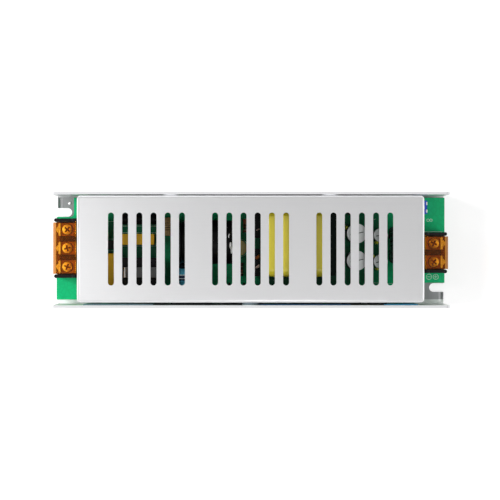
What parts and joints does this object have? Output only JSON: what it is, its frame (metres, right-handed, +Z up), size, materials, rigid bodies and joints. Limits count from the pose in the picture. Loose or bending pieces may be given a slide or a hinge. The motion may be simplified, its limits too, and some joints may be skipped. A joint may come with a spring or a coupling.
{
  "type": "led power supply",
  "caption": "Slim enclosed power supply: folded channel with slotted lid, circuit board and flip-covered screw terminals at both ends.",
  "frame": {"origin": "centre of the box on the plane the channel stands on", "axes": "+X from the input end to the output end, +Y to the wall with two lid screws, +Z up through the slotted lid"},
  "size_m": [0.2, 0.058, 0.038],
  "materials": {
    "case": "plain mill-finish folded sheet",
    "lid": "satin light grey folded sheet",
    "steel": "zinc plated steel",
    "tinned": "nickel plated terminal metal",
    "film": "blue insulating sheet",
    "board": "green solder mask",
    "black_plastic": "black moulded plastic",
    "amber": "clear amber plastic",
    "mustard": "mustard moulded box",
    "blue": "blue coated or moulded",
    "sleeve": "black shrink sleeve",
    "blue_sleeve": "blue shrink sleeve",
    "can": "aluminium can in a dark sleeve",
    "olive": "olive coated",
    "ferrite": "dark grey ferrite",
    "copper": "enamelled copper wire",
    "tape": "yellow insulating tape",
    "resistor": "tan lacquer with colour bands",
    "pad": "grey soft pad",
    "white": "white moulded plastic"
  },
  "bodies": {
    "case": {"base_channel": "case", "insulating_sheet": "film", "circuit_board": "board", "board_pillars": "steel", "board_screws": "steel", "top_lid": "lid", "lid_screws_set": "steel", "input_body": "black_plastic", "input_contacts": "tinned", "output_body": "black_plastic", "output_contacts": "tinned", "line_fuse": "sleeve", "thermistor": "black_plastic", "varistor": "blue", "x_capacitor_large": "mustard", "x_capacitor_small": "mustard", "choke_core": "ferrite", "choke_bobbin": "black_plastic", "choke_windings": "copper", "toroid_core": "ferrite", "toroid_winding": "copper", "bulk_capacitor": "sleeve", "auxiliary_capacitor": "blue_sleeve", "small_capacitor": "olive", "y_capacitor": "blue", "resistors": "resistor", "controller_chip": "black_plastic", "optocoupler": "black_plastic", "transformer_core": "ferrite", "transformer_bobbin": "black_plastic", "transformer_winding": "tape", "switching_transistors": "black_plastic", "output_rectifiers": "black_plastic", "bridge_rectifier": "black_plastic", "thermal_pads": "pad", "device_screws": "steel", "device_nuts": "steel", "output_capacitors_large": "can", "output_capacitors_small": "can", "inductor_core": "ferrite", "inductor_winding": "copper", "trimmer_body": "blue"},
    "input_flap": {"input_flap": "amber"},
    "output_flap": {"output_flap": "amber"},
    "trimmer_rotor": {"trimmer_rotor": "white"},
    "input_clamp_1": {"input_clamp_1": "tinned"},
    "input_screw_1": {"input_screw_1": "steel"},
    "input_clamp_2": {"input_clamp_2": "tinned"},
    "input_screw_2": {"input_screw_2": "steel"},
    "input_clamp_3": {"input_clamp_3": "tinned"},
    "input_screw_3": {"input_screw_3": "steel"},
    "output_clamp_1": {"output_clamp_1": "tinned"},
    "output_screw_1": {"output_screw_1": "steel"},
    "output_clamp_2": {"output_clamp_2": "tinned"},
    "output_screw_2": {"output_screw_2": "steel"}
  },
  "joints": [
    {"name": "input_flap_hinge", "type": "hinge", "parent": "case", "child": "input_flap", "pos_m": [-0.089, 0.0009, 0.02545], "axis": [0, 1, 0], "range_deg": [0, 92]},
    {"name": "output_flap_hinge", "type": "hinge", "parent": "case", "child": "output_flap", "pos_m": [0.089, -0.0014, 0.02545], "axis": [0, -1, 0], "range_deg": [0, 92]},
    {"name": "trimmer_turn", "type": "hinge", "parent": "case", "child": "trimmer_rotor", "pos_m": [0.0871, 0.02185, 0.0124], "axis": [0, 0, 1], "range_deg": [-105, 105]},
    {"name": "input_clamp_1_lift", "type": "slide", "parent": "case", "child": "input_clamp_1", "axis": [0, 0, 1], "range_m": [0, 0.002]},
    {"name": "input_screw_1_turn", "type": "hinge", "parent": "input_clamp_1", "child": "input_screw_1", "pos_m": [-0.0935, -0.0086, 0.0154], "axis": [0, 0, 1], "range_deg": [0, 1440]},
    {"name": "input_clamp_2_lift", "type": "slide", "parent": "case", "child": "input_clamp_2", "axis": [0, 0, 1], "range_m": [0, 0.002]},
    {"name": "input_screw_2_turn", "type": "hinge", "parent": "input_clamp_2", "child": "input_screw_2", "pos_m": [-0.0935, 0.0009, 0.0154], "axis": [0, 0, 1], "range_deg": [0, 1440]},
    {"name": "input_clamp_3_lift", "type": "slide", "parent": "case", "child": "input_clamp_3", "axis": [0, 0, 1], "range_m": [0, 0.002]},
    {"name": "input_screw_3_turn", "type": "hinge", "parent": "input_clamp_3", "child": "input_screw_3", "pos_m": [-0.0935, 0.0104, 0.0154], "axis": [0, 0, 1], "range_deg": [0, 1440]},
    {"name": "output_clamp_1_lift", "type": "slide", "parent": "case", "child": "output_clamp_1", "axis": [0, 0, 1], "range_m": [0, 0.002]},
    {"name": "output_screw_1_turn", "type": "hinge", "parent": "output_clamp_1", "child": "output_screw_1", "pos_m": [0.0935, -0.00615, 0.0154], "axis": [0, 0, 1], "range_deg": [0, 1440]},
    {"name": "output_clamp_2_lift", "type": "slide", "parent": "case", "child": "output_clamp_2", "axis": [0, 0, 1], "range_m": [0, 0.002]},
    {"name": "output_screw_2_turn", "type": "hinge", "parent": "output_clamp_2", "child": "output_screw_2", "pos_m": [0.0935, 0.00335, 0.0154], "axis": [0, 0, 1], "range_deg": [0, 1440]}
  ],
  "couplings": [
    {"joint": "input_screw_1_turn", "follows": "input_clamp_1_lift", "rad_per_m": 12566},
    {"joint": "input_screw_2_turn", "follows": "input_clamp_2_lift", "rad_per_m": 12566},
    {"joint": "input_screw_3_turn", "follows": "input_clamp_3_lift", "rad_per_m": 12566},
    {"joint": "output_screw_1_turn", "follows": "output_clamp_1_lift", "rad_per_m": 12566},
    {"joint": "output_screw_2_turn", "follows": "output_clamp_2_lift", "rad_per_m": 12566}
  ]
}
